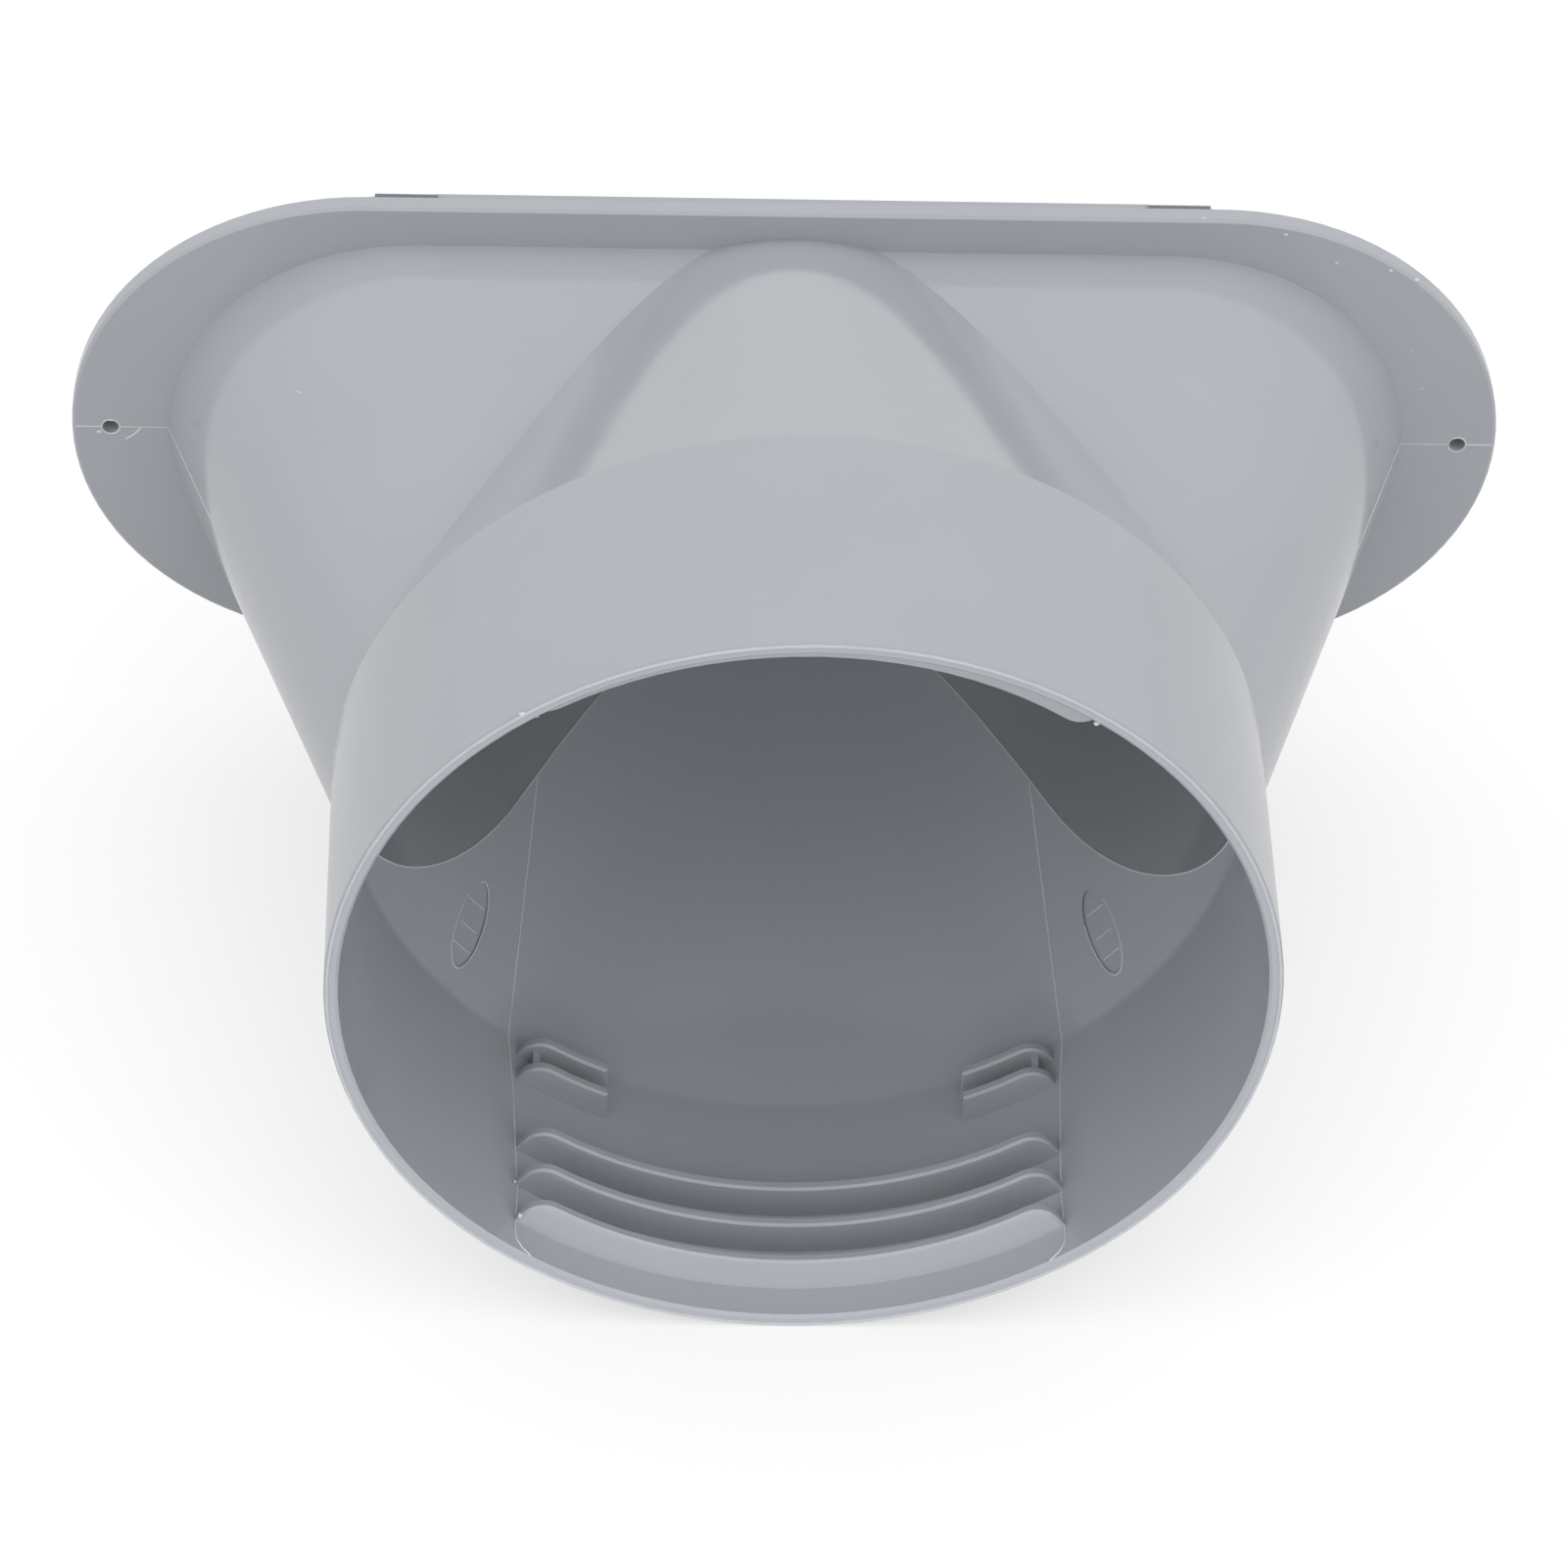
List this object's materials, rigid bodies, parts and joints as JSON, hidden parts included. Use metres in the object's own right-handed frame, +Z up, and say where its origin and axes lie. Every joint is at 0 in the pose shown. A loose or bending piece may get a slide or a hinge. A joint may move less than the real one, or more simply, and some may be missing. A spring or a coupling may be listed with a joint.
{
  "type": "exhaust hose coupler",
  "caption": "Moulded plastic duct coupler that joins a round flexible exhaust hose to a flat oval outlet, with a screw flange, a snap-in spigot and hose ribs inside.",
  "frame": {"origin": "centre of the flange's back face, on the hose axis, midway between the two screw holes", "axes": "+Y along the hose axis from the round mouth to the flat outlet, +X along the flange, +Z up"},
  "size_m": [0.2506, 0.1551, 0.1546],
  "materials": {
    "moulded_plastic": "satin grey moulding"
  },
  "bodies": {
    "root": {"coupler_body": "moulded_plastic"}
  },
  "joints": []
}
